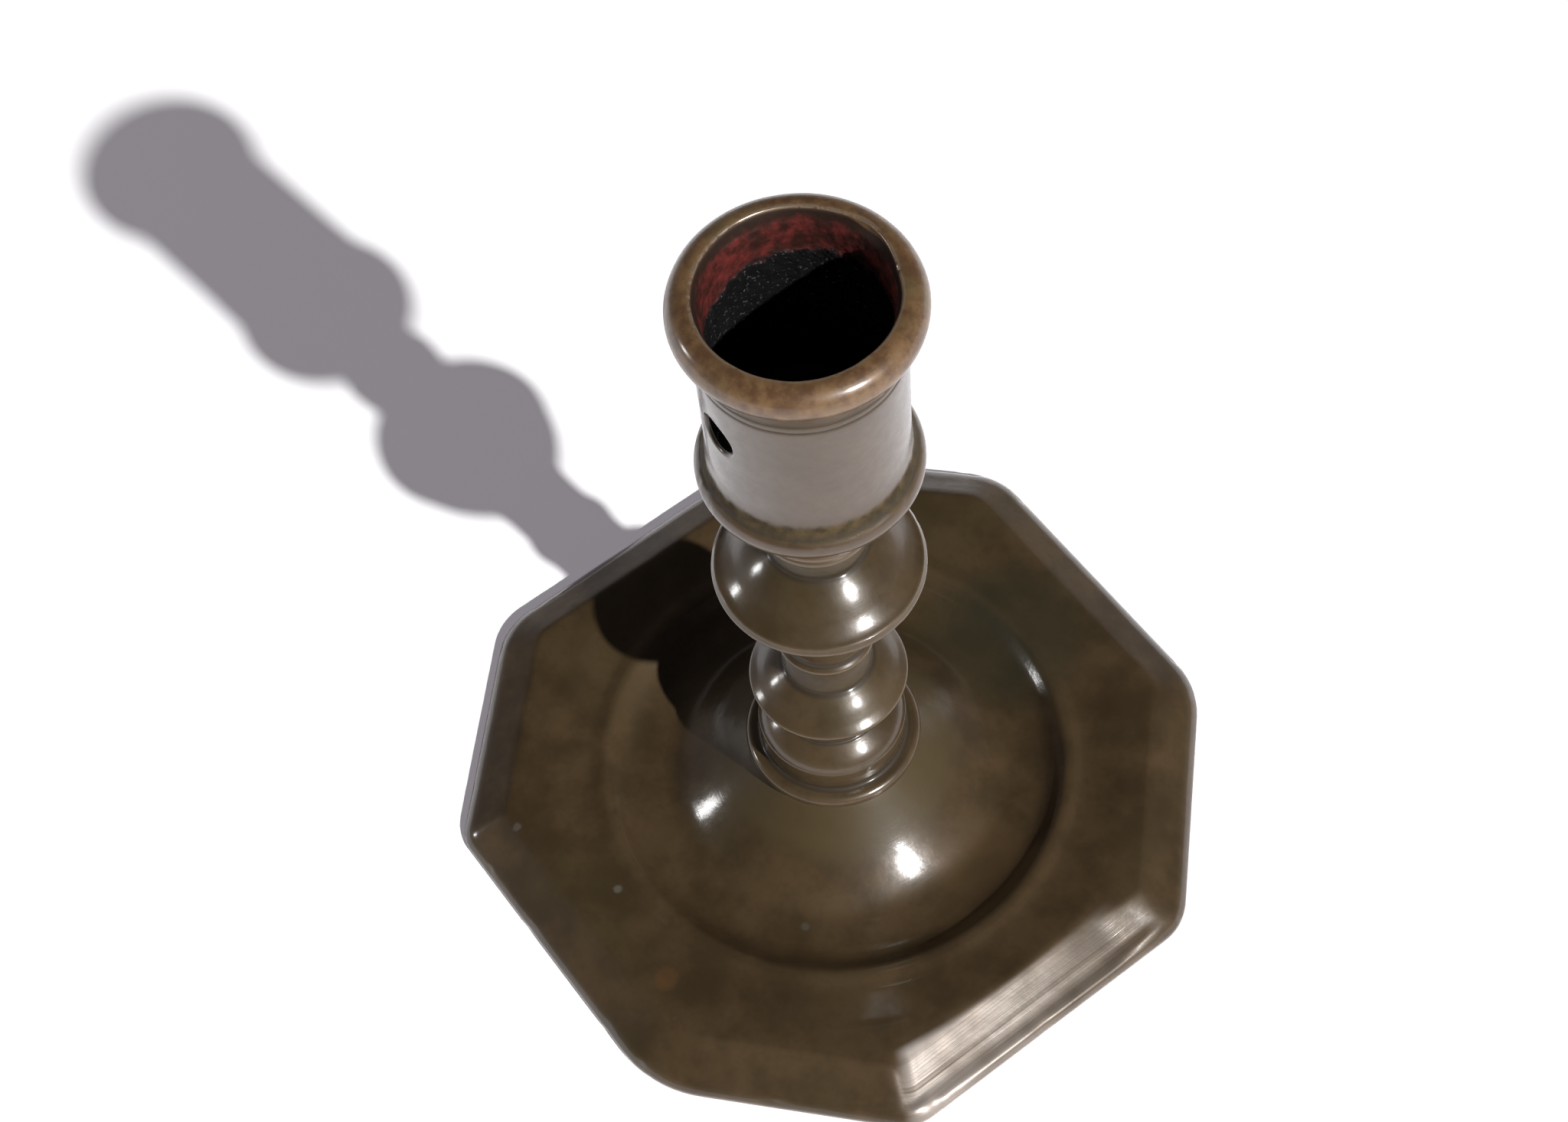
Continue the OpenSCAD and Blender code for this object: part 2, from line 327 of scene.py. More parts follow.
# The foot's outline with its hand-filed sides, numbered from the one that faces +X
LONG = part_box("base")[1][0] / MM
base_points = np.array([v.co[:] for v in NODES["base"].data.vertices]) / MM
SHORT = float((base_points[:, 1] - base_points[:, 0]).max()) / math.sqrt(2)
STANDS_OUT = (0, -0.5, 0, 0, 0, 1.0, 0, 0)
TURNED_BY = (0, 0.8, 0, 0, 0, 1.2, 0, -1.8)
CORNER_R = 12.0
SHARPEST_R = 0.8
CORNER_WEAR = (0.8, 1.2, 1, 1, 1, 0.5, 1.7, 0.75)
APOTHEMS = [(LONG if side % 2 == 0 else SHORT) + STANDS_OUT[side] for side in range(8)]
FACING = [math.radians(45 * side + TURNED_BY[side % 8]) for side in range(9)]


def outline(bearings, inset):
    """Radius of the foot's rounded eight-sided outline, drawn in by inset, at each bearing."""
    radius = np.full(len(bearings), 1e9)
    for apothem, facing in zip(APOTHEMS, FACING):
        lean = np.cos(bearings - facing)
        radius = np.where(lean > 0.3, np.minimum(radius, (apothem - inset) / np.maximum(lean, 0.3)), radius)
    for side, a in enumerate(FACING[:8]):
        turn = FACING[side + 1] - a
        r = max(CORNER_R * CORNER_WEAR[side] - inset, SHARPEST_R)
        out = APOTHEMS[side] - inset - r
        along = (APOTHEMS[(side + 1) % 8] - inset - r - out * math.cos(turn)) / math.sin(turn)
        cx, cy = out * math.cos(a) - along * math.sin(a), out * math.sin(a) + along * math.cos(a)
        dot = np.cos(bearings) * cx + np.sin(bearings) * cy
        inside = dot ** 2 - cx ** 2 - cy ** 2 + r ** 2
        reach = dot + np.sqrt(np.maximum(inside, 0))
        hx, hy = reach * np.cos(bearings) - cx, reach * np.sin(bearings) - cy
        swept = (np.arctan2(hy, hx) - a) % (2 * math.pi)
        radius = np.where((inside > 0) & (dot > 0) & (swept <= turn), reach, radius)
    return radius


def foot_bearings(count):
    """Bearings round the foot, closer together at its corners."""
    fine = np.linspace(0, 2 * math.pi, 7200, endpoint=False)
    crowd = np.ones(len(fine))
    for a, b in zip(FACING[:8], FACING[1:]):
        apart = (fine - (a + b) / 2 + math.pi) % (2 * math.pi) - math.pi
        crowd += 2.5 * np.exp(-(apart / 0.07) ** 2)
    share = np.cumsum(crowd) / crowd.sum()
    return np.interp(np.arange(count) / count, share, fine)


def foot_place(line):
    """Gives the radius of a point of the foot's section at each bearing: round inside, eight-sided outside."""
    rim = int(np.argmax(line[:, 0]))
    tops = set(np.where(line[:, 1] > line[rim, 1] + 1.2)[0])
    border = line[np.abs(line[:, 0] - 49) < 1, 1].max()

    def place(i, radius, bearings):
        start, full = (49.1, 49.5) if i in tops and line[i, 1] > border - 0.8 else (48.1, 48.55)
        if radius <= start:
            return np.full(len(bearings), radius)
        if radius >= full:
            return outline(bearings, max(LONG - radius, 0.002))
        share = (radius - start) / (full - start)
        return start + (outline(bearings, LONG - full) - start) * share
    return place


def bore_rows(line):
    """Longest step of the socket's profile: fine in the upper bore, for the crust, and at the mouth."""
    in_bore = (line[:, 0] < 12.7) & (line[:, 1] > 119)
    at_mouth = line[:, 1] > 134
    return np.where(in_bore, 0.36, np.where(at_mouth, 0.5, 1.0))


# How steep the worn surfaces fall, read from where the photo's highlights and shades lie: (radius, degrees)
FOOT_FALL = [(13.5, 47), (15, 46.5), (16.5, 45), (18, 43.2), (19.6, 41.6), (21, 40), (22.3, 38.5), (23.4, 37.7), (24.45, 36.8),
             (25.4, 34.8), (26.4, 30), (27.2, 25), (28.1, 17), (29, 8.5), (29.8, 0), (31, -4), (32, -6), (33, -9), (34, -14),
             (35, -23), (36, -34), (36.7, -41), (37.5, -41), (38.1, -33), (38.8, -16), (39.5, 0), (40.1, 14), (40.8, 14),
             (41.6, 4), (42.4, -3), (44, -6), (47, -6), (48.6, -2), (49.4, 2), (50, 14), (50.6, 26), (51.2, 30), (55.6, 30),
             (56.6, 40), (57.2, 52), (57.8, 66)]
FOOT_ANCHORS = [(13.5, 14.3), (29.8, 2.35), (39.5, 5.5), (48.9, 6.15), (57.8, 0.81)]
DISC_FALL = [(7.6, 55), (7.8, 40), (8.1, 35), (8.8, 37), (9.5, 39), (10.2, 41.2), (11, 44), (11.8, 46.5), (12.4, 46.5), (12.9, 42.5),
             (13.4, 40), (14.1, 38.5), (14.6, 33), (15, 27), (15.5, 25)]
KNOP_FALL = [(7.1, 50), (7.3, 38), (7.6, 34), (8.4, 36), (9.1, 38.7), (9.9, 42.5), (10.6, 46), (11.1, 45), (11.6, 40.5),
             (12.1, 37), (12.55, 32)]
OVOLO_FALL = [(8.3, 31), (8.9, 35), (9.8, 38.2), (10.6, 42), (11.3, 52), (11.8, 66), (12, 74)]


def foot_wear(line):
    line = redrawn(line, FOOT_FALL, FOOT_ANCHORS)
    return softened(line, 0.2, (line[:, 0] > 14) * (line[:, 0] < 57) * 1.0)


def stem_wear(line):
    line = redrawn(line, DISC_FALL, [(7.6, 78.7), (15.5, 72.1)])
    line = redrawn(line, KNOP_FALL, [(7.1, 41.7), (12.55, 37.15)])
    line = redrawn(line, OVOLO_FALL, [(8.3, 26.45), (12.0, 22.56)])
    side, height = line[:, 0] > 6, line[:, 1]
    line = softened(line, 0.6, side * step_up(height, 14.2, 15) * step_up(height, 20.8, 19.6))
    collar = step_up(height, 45.5, 47) * step_up(height, 53, 51.5)
    rims = step_up(height, 34, 35) * step_up(height, 38.4, 37.4)
    return softened(line, 0.45, side * np.maximum(collar, rims * 0.7))


def foot_rows(line):
    """Longest step of the foot's profile: fine on the bevel, for its file marks and dents."""
    return np.where((line[:, 0] > 45.5) & (line[:, 1] > 0.7), 0.6, 2.5)


base = casting("foot", "base", foot_bearings(320), foot_place, foot_rows, foot_wear)
stem = casting("stem_turned", "stem", full_turn(192), wear=stem_wear)
nozzle = casting("candle_socket", "nozzle", full_turn(256), longest=bore_rows)


# The bevel that faces +X is filed a little steeper and wider, most at its ends
places, normals = points_of(base)
x, y = places[:, 0], places[:, 1]
extra = 0.13 * np.clip(x - 49.9, 0, 5.6) * (1 - step_up(x, 55.6, 57.6))
bearing = np.degrees(np.arctan2(y, x))
extra *= step_up(bearing, -26, -22.5) * step_up(bearing, 22.5, 12) * (normals[:, 2] > 0.1) * (places[:, 2] > 0.9)
places[:, 2] -= extra
ridge = 48.8 - 1.2 * (y / 18) ** 2
above = places[:, 2] - (6.15 - 4.4 * (x - ridge) / (56.4 - ridge))
share = step_up(x, 45, 46.5) * (1 - step_up(x, 54.5, 56.4)) * step_up(bearing, -29, -24.5) * step_up(bearing, 24, 15)
places[:, 2] -= (above + np.sqrt(above ** 2 + 0.04)) / 2 * share * (normals[:, 2] > 0.1) * (places[:, 2] > 0.9)
set_points(base, places)

# Unevenness and wear
for obj, seed in ((base, 1), (stem, 2), (nozzle, 3)):
    places, normals = points_of(obj)
    depth = 0.05 + 0.05 * lumps(places, 14, seed) + 0.02 * lumps(places, 4, seed + 10)
    depth = np.maximum(depth, 0) * step_up(places[:, 2], 0.3, 2.0)
    set_points(obj, places - normals * depth[:, None])


def dented(obj, dents):
    """Presses round dents into a mesh: each has a bearing in degrees, a radius, a height, a width and a depth in mm."""
    places, normals = points_of(obj)
    depth = np.zeros(len(places))
    for bearing, radius, height, width, deep in dents:
        a = math.radians(bearing)
        away = np.linalg.norm(places - (radius * math.cos(a), radius * math.sin(a), height), axis=1)
        depth += deep * np.maximum(1 - (away / width) ** 2, 0) ** 2
    set_points(obj, places - normals * depth[:, None])


def worn_edges(obj, seed, count, widths, depths, where):
    """Small dents at random places of a mesh's outer edges."""
    dice = np.random.default_rng(seed)
    places, _ = points_of(obj)
    edge = np.empty(len(places))
    obj.data.attributes["edge"].data.foreach_get("value", edge)
    inside = where(places)
    spots = np.where(inside & (edge >= np.quantile(edge[inside], 0.85)))[0]
    chosen = places[dice.choice(spots, count, replace=False)]
    dented(obj, [(math.degrees(math.atan2(y, x)), math.hypot(x, y), z, dice.uniform(*widths), dice.uniform(*depths))
                 for x, y, z in chosen])


worn_edges(base, 11, 40, (0.9, 2.4), (0.04, 0.16), lambda p: (np.hypot(p[:, 0], p[:, 1]) > 49.5) & (np.abs(p[:, 2] - 1.7) < 0.7))
worn_edges(stem, 12, 14, (0.5, 1.1), (0.02, 0.06), lambda p: p[:, 2] < JOINT_Z - 1)
worn_edges(nozzle, 13, 22, (0.5, 1.3), (0.03, 0.12), lambda p: (p[:, 2] < LIP_Z - 0.6) & (p[:, 0] ** 2 + p[:, 1] ** 2 > 180))
dented(nozzle, [(41.4, 14.9, LIP_Z - 0.7, 0.75, 0.3), (38.5, 15.9, LIP_Z - 1.3, 0.6, 0.16), (66, 13.4, LIP_Z - 0.2, 0.5, 0.3),
                (268, 14.15, 114.5, 5.5, 0.14), (262, 14.15, 121.5, 4, 0.08)])

# The lip is out of round where the mouth was knocked
places, _ = points_of(nozzle)
radius = np.hypot(places[:, 0], places[:, 1])
bearing = np.degrees(np.arctan2(places[:, 1], places[:, 0])) % 360
knocks = [(0, 0), (38, 0.02), (50, -0.02), (60, -0.16), (68, -0.2), (76, -0.05), (84, 0.12), (92, 0.3), (100, 0.45), (108, 0.34),
          (118, 0.08), (130, -0.04), (160, 0.03), (200, -0.05), (240, 0.06), (290, -0.03), (330, 0.05), (360, 0)]
shift = np.interp(bearing, [k[0] for k in knocks], [k[1] for k in knocks]) + 0.05 * lumps(places, 2.2, 31)
shift *= step_up(places[:, 2], LIP_Z - 2.2, LIP_Z - 0.5) * (1 - step_up(radius, 13.7, 15)) * (radius < 15.2)
places[:, :2] *= ((radius + shift) / radius)[:, None]
set_points(nozzle, places)

# Soot and wax on the bore's wall
CRUST_TOP = [(0, 130.6), (60, 131.2), (120, 131.4), (170, 130.2), (200, 129.3), (260, 129.6), (320, 130.4), (360, 130.6)]
places, normals = points_of(nozzle)
radius = np.hypot(places[:, 0], places[:, 1])
bearing = np.degrees(np.arctan2(places[:, 1], places[:, 0])) % 360
top = np.interp(bearing, [c[0] for c in CRUST_TOP], [c[1] for c in CRUST_TOP]) + 0.8 * lumps(places, 1.9, 33)
crust = (radius < 12.75) & (places[:, 2] > 104.5)
thick = 0.12 + 0.34 * np.abs(lumps(places, 0.75, 34)) + 0.3 * np.maximum(lumps(places, 1.7, 35), 0)
thick *= step_up(top - places[:, 2], -0.2, 0.6)
wax = 0.1 * step_up(lumps(places, 1.3, 36), -0.3, 0.4) * step_up(LIP_Z - 2.2 - places[:, 2], -0.3, 0.5)
thick = np.maximum(thick, wax) * step_up(places[:, 2], 104.6, 106)
places[crust] += (normals * thick[:, None])[crust]
set_points(nozzle, places)
soot = nozzle.data.attributes.new("soot", "FLOAT", "POINT")
soot.data.foreach_set("value", step_up(top + 0.7 * lumps(places, 0.9, 37) - places[:, 2], -0.7, 0.5).astype(np.float32))


# The hole for pushing out a candle end. Its mouth is worn to a flare that is widest below
HOLE = next(m for m in frame["record"]["mounts"] if m["name"] == "pick_hole")
HOLE_WALL = 14.08
FLARE = [(4.2, -0.05), (1.2, 0), (0.75, 0.02), (0.5, 0.07), (0.3, 0.16), (0.16, 0.28), (0.06, 0.46), (-0.02, 0.7), (-0.3, 1.5), (-1.2, 1.6)]


def hole_cutter():
    """A plug that follows the wall's curve: each ring has a depth below the wall and how far it flares out."""
    ahead = Vector(HOLE["axis"])
    across = Vector((0, 0, 1)).cross(ahead)
    sides = 56
    verts = []
    for deep, flare in FLARE:
        for j in range(sides):
            turn = 2 * math.pi * j / sides
            reach = HOLE["dims"]["r_mm"] + flare * (0.75 + 0.9 * max(0, -math.sin(turn)))
            aside, rise = reach * math.cos(turn), reach * math.sin(turn)
            out = math.sqrt(HOLE_WALL ** 2 - aside ** 2) - deep
            verts.append(ahead * out + across * aside + Vector((0, 0, HOLE["pos_m"][2] / MM + rise)))
    faces = [tuple(range(sides))[::-1], tuple(range(len(verts) - sides, len(verts)))]
    for row in range(len(FLARE) - 1):
        for j in range(sides):
            k = (j + 1) % sides
            faces.append((row * sides + j, row * sides + k, (row + 1) * sides + k, (row + 1) * sides + j))
    mesh = bpy.data.meshes.new("cutter")
    mesh.from_pydata([v * MM for v in verts], [], faces)
    obj = bpy.data.objects.new("cutter", mesh)
    bpy.context.scene.collection.objects.link(obj)
    return obj


cutter = hole_cutter()
cut = nozzle.modifiers.new("hole", "BOOLEAN")
cut.operation = "DIFFERENCE"
cut.solver = "EXACT"
cut.object = cutter
holed = bpy.data.meshes.new_from_object(nozzle.evaluated_get(bpy.context.evaluated_depsgraph_get()))
nozzle.modifiers.clear()
nozzle.data = holed
bpy.data.objects.remove(cutter)
holed.polygons.foreach_set("use_smooth", [True] * len(holed.polygons))
holed.set_sharp_from_angle(angle=math.radians(38))


# The ironwork under the foot
NUT_W = (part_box("nut")[1][0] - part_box("nut")[0][0]) / MM
NUT_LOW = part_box("nut")[0][2] / MM
STUD_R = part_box("stud")[1][0] / MM
PITCH = 1.27


def square_place(line):
    """Carries the nut's section round its four sides, with worn corners and the chamfer below."""
    bore = line[:, 0].min()

    def place(i, radius, bearings):
        square = NUT_W / 2 / (np.abs(np.cos(bearings)) ** 22 + np.abs(np.sin(bearings)) ** 22) ** (1 / 22)
        limit = NUT_W * 0.6 + 1.05 * np.maximum(line[i, 1] - NUT_LOW, 0)
        return bore + (np.minimum(square, limit) - bore) * (radius - bore) / (NUT_W / 2 - bore)
    return place


def thread_place(line):
    """Cuts a screw thread into the lower half of the stud."""
    def place(i, radius, bearings):
        if line[i, 1] > SEAT_Z + 1 or radius < 1:
            return np.full(len(bearings), radius)
        phase = (line[i, 1] / PITCH - bearings / (2 * math.pi)) % 1
        groove = np.clip(1.25 - 2.5 * np.abs(phase - 0.5), 0, 1)
        return radius * (1 - 0.17 * groove * step_up(np.full(len(bearings), line[i, 1]), NUT_LOW - 2.2, NUT_LOW - 0.6))
    return place


nut_turn = np.concatenate([math.pi / 2 * q + np.linspace(0, math.pi / 2, 24, endpoint=False) for q in range(4)])
nut = casting("square_nut", "nut", nut_turn, square_place, lambda line: np.full(len(line), 0.5))
washer = casting("washer_plate", "washer", full_turn(96), None, lambda line: np.full(len(line), 0.7))
stud = casting("threaded_stud", "stud", full_turn(48), thread_place,
               lambda line: np.where(line[:, 1] < SEAT_Z + 1, 0.12, 4.0))
for obj, seed, deep in ((nut, 41, 0.09), (washer, 42, 0.08)):
    places, normals = points_of(obj)
    depth = deep * np.maximum(0.35 + lumps(places, 2.6, seed), 0)
    set_points(obj, places - normals * depth[:, None])


# Materials
class Graph:
    """Short way to add and wire the nodes of one material."""

    def __init__(self, name):
        self.material = bpy.data.materials.new(name)
        self.material.use_nodes = True
        self.tree = self.material.node_tree
        self.tree.nodes.clear()
        where = self.add("ShaderNodeTexCoord").outputs["Object"]
        scaled = self.add("ShaderNodeVectorMath", operation="SCALE")
        self.link(where, scaled.inputs[0])
        scaled.inputs["Scale"].default_value = 1 / MM
        self.place = scaled.outputs[0]
        split = self.add("ShaderNodeSeparateXYZ")
        self.link(self.place, split.inputs[0])
        self.x, self.y, self.z = split.outputs
        flat = self.add("ShaderNodeCombineXYZ")
        self.link(self.x, flat.inputs[0])
        self.link(self.y, flat.inputs[1])
        length = self.add("ShaderNodeVectorMath", operation="LENGTH")
        self.link(flat.outputs[0], length.inputs[0])
        self.radius = length.outputs["Value"]

    def add(self, kind, **settings):
        node = self.tree.nodes.new(kind)
        for key, value in settings.items():
            setattr(node, key, value)
        return node

    def link(self, value, socket):
        if isinstance(value, bpy.types.NodeSocket):
            self.tree.links.new(value, socket)
        elif isinstance(value, (tuple, list)) and len(value) == 3 and len(socket.default_value) == 4:
            socket.default_value = (*value, 1)
        else:
            socket.default_value = value

    def noise(self, size, detail=3.0, roughness=0.55, where=None, seed=0.0, distortion=0.0):
        """Noise from 0 to 1 with features of about size mm."""
        node = self.add("ShaderNodeTexNoise", noise_dimensions="4D")
        self.link(where or self.place, node.inputs["Vector"])
        node.inputs["W"].default_value = seed
        node.inputs["Scale"].default_value = 1 / size
        node.inputs["Detail"].default_value = detail
        node.inputs["Roughness"].default_value = roughness
        node.inputs["Distortion"].default_value = distortion
        return node.outputs["Fac"]

    def math(self, operation, a, b=0.0, clamp=False):
        node = self.add("ShaderNodeMath", operation=operation, use_clamp=clamp)
        self.link(a, node.inputs[0])
        self.link(b, node.inputs[1])
        return node.outputs[0]

    def ramp(self, value, low, high, start=0.0, end=1.0):
        """Smooth step of a value: start below low, end above high."""
        node = self.add("ShaderNodeMapRange", interpolation_type="SMOOTHSTEP")
        self.link(value, node.inputs["Value"])
        for key, number in (("From Min", low), ("From Max", high), ("To Min", start), ("To Max", end)):
            self.link(number, node.inputs[key])
        return node.outputs["Result"]

    def mix(self, share, a, b, blend="MIX"):
        node = self.add("ShaderNodeMix", data_type="RGBA", blend_type=blend)
        self.link(share, node.inputs[0])
        self.link(a, node.inputs[6])
        self.link(b, node.inputs[7])
        return node.outputs[2]

    def blend(self, share, a, b):
        """Number that goes from a to b as share goes from 0 to 1."""
        node = self.add("ShaderNodeMix", data_type="FLOAT")
        self.link(share, node.inputs[0])
        self.link(a, node.inputs[2])
        self.link(b, node.inputs[3])
        return node.outputs[0]

    def attribute(self, name):
        return self.add("ShaderNodeAttribute", attribute_name=name).outputs["Fac"]

    def vector(self, x, y, z):
        node = self.add("ShaderNodeCombineXYZ")
        for value, socket in zip((x, y, z), node.inputs):
            self.link(value, socket)
        return node.outputs[0]

    def bump(self, height, distance, normal=None, strength=1.0):
        node = self.add("ShaderNodeBump")
        self.link(height, node.inputs["Height"])
        node.inputs["Strength"].default_value = strength
        node.inputs["Distance"].default_value = distance * MM
        if normal:
            self.link(normal, node.inputs["Normal"])
        return node.outputs["Normal"]

    def surface(self, **inputs):
        shader = self.add("ShaderNodeBsdfPrincipled")
        for key, value in inputs.items():
            self.link(value, shader.inputs[key.replace("_", " ")])
        self.link(shader.outputs[0], self.add("ShaderNodeOutputMaterial").inputs["Surface"])
        return self.material


class Look:
    """The channels of a surface while it is put together."""

    def __init__(self, **channels):
        self.__dict__.update(channels)


def over(g, look, mask, colour, rough=None, metal=None, coat=None):
    """Lays another surface over a look where the mask is 1."""
    look.colour = g.mix(mask, look.colour, colour)
    for key, value in (("rough", rough), ("metal", metal), ("coat", coat)):
        if value is not None:
            old = getattr(look, key)
            setattr(look, key, g.blend(mask, old, value))


def bronze(name, seed, brown, dark, olive, rough, gloss, coat_rough, finish=None):
    """Patinated bronze: mottled brown under a thin gloss, worn on its edges, dark in its grooves."""
    g = Graph(name)
    broad = g.noise(26, 2, seed=seed)
    blotch = g.noise(9, 4, 0.6, seed=seed + 1)
    mottle = g.noise(1.6, 4, 0.65, seed=seed + 2)
    speck = g.noise(0.45, 2, 0.5, seed=seed + 3)
    edge = g.attribute("edge")
    run = g.attribute("run")
    look = Look(metal=0.1, coat=1.0)
    look.colour = g.mix(g.ramp(blotch, 0.34, 0.66), dark, brown)
    look.colour = g.mix(g.math("MULTIPLY", g.ramp(broad, 0.5, 0.68), 0.5), look.colour, olive)
    look.colour = g.mix(g.math("MULTIPLY", g.ramp(mottle, 0.52, 0.3), 0.35), look.colour, dark)
    look.rough = g.math("ADD", rough, g.ramp(mottle, 0.4, 0.65, 0.05, -0.02))
    lines = g.noise(0.3, 3, 0.6, where=g.vector(run, g.noise(9, 1, seed=seed + 4), 0.0), seed=seed + 5)
    wave = g.noise(3.5, 3, 0.5, seed=seed + 6)
    look.normal = g.bump(lines, 0.005)
    look.normal = g.bump(wave, 0.04, look.normal)
    look.normal = g.bump(speck, 0.004, look.normal)
    if finish:
        finish(g, look)
    over(g, look, g.math("MULTIPLY", g.ramp(edge, 0.03, 0.14), 0.3), (0.17, 0.115, 0.07))
    over(g, look, g.math("MULTIPLY", g.ramp(edge, -0.015, -0.07), 0.8), (0.026, 0.018, 0.01), 0.6, 0.0, 0.1)
    return g.surface(Base_Color=look.colour, Metallic=look.metal, Roughness=look.rough, Normal=look.normal,
                     Specular_IOR_Level=gloss, Coat_Weight=look.coat, Coat_Roughness=coat_rough, Coat_IOR=1.5,
                     Coat_Normal=look.normal)


def socket_finish(g, look):
    """The mouth worn to golden brown with painted shade below the bead, its lip bright, dirt above the flange, and red
    wax and black soot in the bore.
    """
    stain = g.noise(2.6, 5, 0.65, seed=60)
    gold = g.mix(g.ramp(stain, 0.36, 0.64), (0.095, 0.046, 0.02), (0.185, 0.105, 0.046))
    gold = g.mix(g.math("MULTIPLY", g.ramp(g.noise(9, 2, seed=59), 0.5, 0.7), 0.6), gold, (0.12, 0.09, 0.04))
    # Worn golden brown on the mouth; below the bead it turns darker, a painted shade under the bead
    over(g, look, g.ramp(g.z, LIP_Z - 13.5, LIP_Z - 7.6), g.mix(g.ramp(g.z, LIP_Z - 6.6, LIP_Z - 8.2), gold, (0.065, 0.04, 0.017)),
         0.45, 0.1, g.ramp(g.z, LIP_Z - 6.6, LIP_Z - 3.8, 0.4, 1.0))
    dirt_noise = g.noise(1.6, 4, 0.55, seed=58)
    low = g.math("ADD", g.z, g.math("MULTIPLY", g.math("SUBTRACT", dirt_noise, 0.5), 1.6))
    dirt = g.math("MULTIPLY", g.ramp(low, JOINT_Z + 16.6, JOINT_Z + 17.3), g.ramp(low, JOINT_Z + 20.2, JOINT_Z + 18.9))
    dirt = g.math("MULTIPLY", dirt, g.ramp(g.radius, 13.4, 13.8))
    over(g, look, dirt, g.mix(g.ramp(dirt_noise, 0.36, 0.68), (0.04, 0.026, 0.009), (0.085, 0.056, 0.021)), 0.8, 0.25, 0.0)
    chips = g.noise(1.5, 4, 0.6, seed=61)
    lip = g.math("MULTIPLY", g.ramp(g.attribute("edge"), 0.09, 0.16), g.ramp(g.z, LIP_Z - 1.2, LIP_Z - 0.7))
    inside = g.math("MULTIPLY", g.ramp(g.radius, 13.5, 13.35), g.ramp(g.z, LIP_Z - 0.08, LIP_Z - 0.35))
    inside = g.math("MULTIPLY", inside, g.ramp(g.z, LIP_Z - 37, LIP_Z - 36))
    over(g, look, inside, g.mix(stain, (0.012, 0.006, 0.004), (0.034, 0.017, 0.011)), 0.5, 0.0, 0.1)
    smear = g.noise(1.8, 5, 0.65, where=g.vector(g.x, g.y, g.math("MULTIPLY", g.z, 0.7)), seed=62)
    top = g.math("ADD", LIP_Z - 1.8, g.math("MULTIPLY", g.math("SUBTRACT", smear, 0.5), 4.0))
    waxed = g.math("MULTIPLY", inside, g.ramp(g.math("SUBTRACT", top, g.z), -0.6, 0.9))
    waxed = g.math("MULTIPLY", waxed, g.ramp(g.noise(4.5, 3, 0.6, seed=66), 0.34, 0.5, 0.35, 1.0))
    red = g.mix(g.ramp(g.noise(2.0, 4, 0.55, seed=63), 0.38, 0.68), (0.034, 0.011, 0.008), (0.14, 0.023, 0.02))
    over(g, look, waxed, red, 0.45, 0.0, 0.1)
    soot = g.math("MULTIPLY", g.attribute("soot"), inside)
    glint = g.ramp(g.noise(0.5, 2, 0.5, seed=64), 0.6, 0.68)
    shade = g.mix(g.noise(2.2, 3, 0.6, seed=67), (0.001, 0.001, 0.0012), (0.02, 0.019, 0.019))
    over(g, look, soot, g.mix(glint, shade, (0.06, 0.06, 0.064)), g.blend(glint, 0.8, 0.3), g.blend(glint, 0.85, 0.0),
         g.blend(glint, 0.0, 0.6))
    over(g, look, g.math("MULTIPLY", lip, g.ramp(chips, 0.4, 0.52)), (0.46, 0.35, 0.25), 0.3, 0.7, 0.6)
    grit = g.noise(0.5, 4, 0.7, seed=65)
    rise = g.math("ADD", g.math("MULTIPLY", soot, 0.9), g.math("ADD", g.math("MULTIPLY", waxed, 0.3), g.math("MULTIPLY", dirt, 0.15)))
    look.normal = g.bump(g.math("MULTIPLY", grit, rise), 0.35, look.normal)


